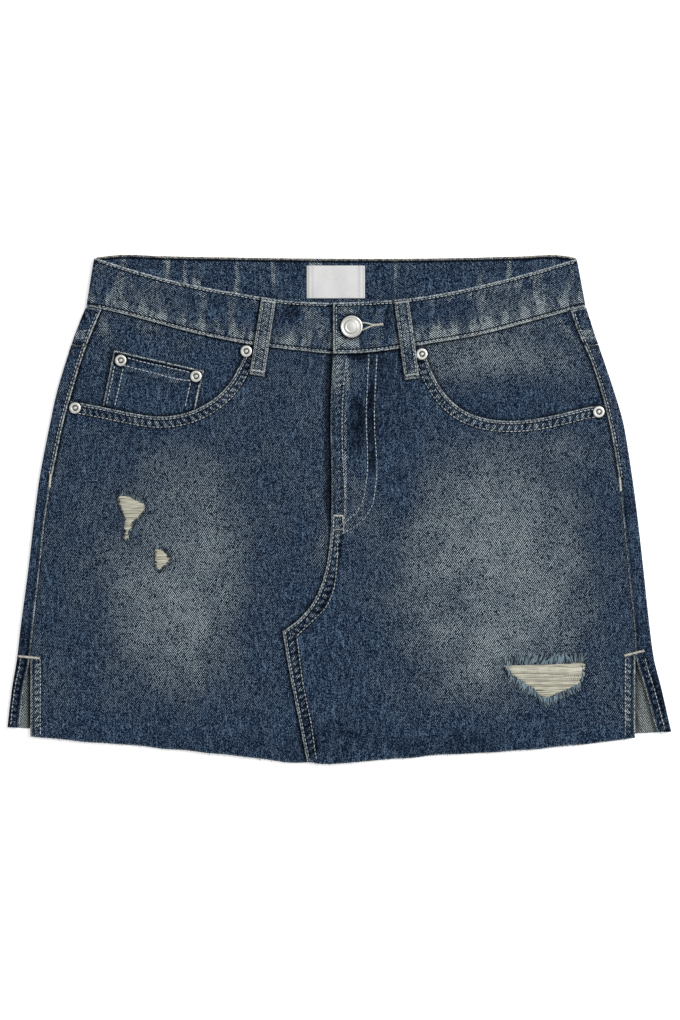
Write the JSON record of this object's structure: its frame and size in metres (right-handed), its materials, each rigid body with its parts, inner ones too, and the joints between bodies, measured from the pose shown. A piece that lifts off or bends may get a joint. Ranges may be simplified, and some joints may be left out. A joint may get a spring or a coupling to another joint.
{
  "type": "denim mini skirt",
  "caption": "Denim mini skirt laid flat on its back, with scooped pockets, a coin pocket, a fly whose lap curves across the front, a buttoned waistband, belt loops and side vents.",
  "frame": {"origin": "middle of the outline, on the surface that the back lies on", "axes": "+X to the wearer's left, +Y up to the waist, +Z out of the skirt's front"},
  "size_m": [0.5118, 0.3923, 0.0103],
  "materials": {
    "denim": "washed twill",
    "denim_band": "washed twill",
    "nickel": "satin",
    "label_satin": "satin weave"
  },
  "bodies": {
    "root": {"front_left": "denim", "front_right": "denim", "back_left": "denim", "back_right": "denim", "yoke_left": "denim", "yoke_right": "denim", "pocket_facing_left": "denim", "pocket_facing_right": "denim", "coin_pocket": "denim", "waistband": "denim_band", "belt_loop_left": "denim_band", "belt_loop_right": "denim_band", "label": "label_satin", "button": "nickel", "rivet_pocket_inner_left": "nickel", "rivet_pocket_outer_left": "nickel", "rivet_pocket_inner_right": "nickel", "rivet_pocket_outer_right": "nickel", "rivet_coin_inner": "nickel", "rivet_coin_outer": "nickel"}
  },
  "joints": []
}
